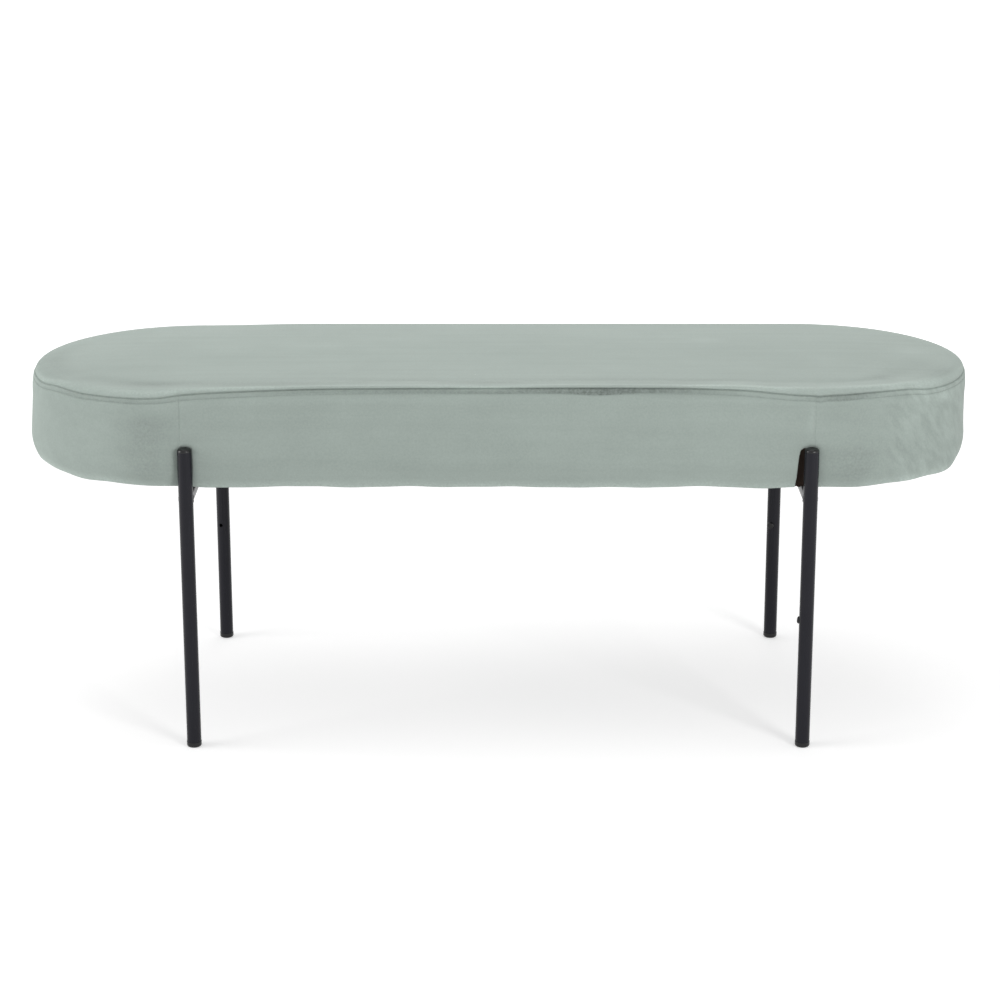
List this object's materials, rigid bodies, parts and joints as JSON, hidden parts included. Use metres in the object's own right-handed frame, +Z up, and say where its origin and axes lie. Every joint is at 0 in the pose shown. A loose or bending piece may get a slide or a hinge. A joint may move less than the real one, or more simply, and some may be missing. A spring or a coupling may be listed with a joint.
{
  "type": "ottoman",
  "caption": "Pill-shaped upholstered ottoman bench with a sewn boxed cover, carried by slim round-tube legs that stand against its long faces.",
  "frame": {"origin": "on the floor, under the middle of the seat", "axes": "+X along the seat to the right, +Y from the front to the rear, +Z up"},
  "size_m": [1.2, 0.4338, 0.46],
  "materials": {
    "velvet": "short-pile velvet, soft sheen",
    "foam": "open-cell foam, matt",
    "wadding": "polyester wadding, matt",
    "dust_cloth": "spun-bonded cloth, matt",
    "plywood": "unfinished plywood",
    "black_steel": "powder coat, satin",
    "black_plastic": "moulded, satin",
    "zinc_steel": "zinc plated"
  },
  "bodies": {
    "root": {"cover_top_panel": "velvet", "cover_band_front": "velvet", "cover_band_rear": "velvet", "cover_band_left_end": "velvet", "cover_band_right_end": "velvet", "seat_foam": "foam", "side_foam": "foam", "fibre_wadding": "wadding", "dust_cover": "dust_cloth", "base_board": "plywood", "deck_board": "plywood", "front_frame_rail": "plywood", "rear_frame_rail": "plywood", "left_end_rail": "plywood", "right_end_rail": "plywood", "left_batten": "plywood", "middle_batten": "plywood", "right_batten": "plywood", "front_left_leg": "black_steel", "front_right_leg": "black_steel", "rear_left_leg": "black_steel", "rear_right_leg": "black_steel", "left_cross_rail": "black_steel", "right_cross_rail": "black_steel", "front_left_mounting_plate": "black_steel", "front_right_mounting_plate": "black_steel", "rear_left_mounting_plate": "black_steel", "rear_right_mounting_plate": "black_steel", "front_left_cap": "black_plastic", "front_right_cap": "black_plastic", "rear_left_cap": "black_plastic", "rear_right_cap": "black_plastic", "front_left_foot": "black_plastic", "front_right_foot": "black_plastic", "rear_left_foot": "black_plastic", "rear_right_foot": "black_plastic", "leg_hole_plugs": "black_plastic", "plate_bolts": "zinc_steel", "plate_washers": "zinc_steel", "tee_nuts": "zinc_steel", "frame_screws": "zinc_steel", "staples": "zinc_steel"}
  },
  "joints": []
}
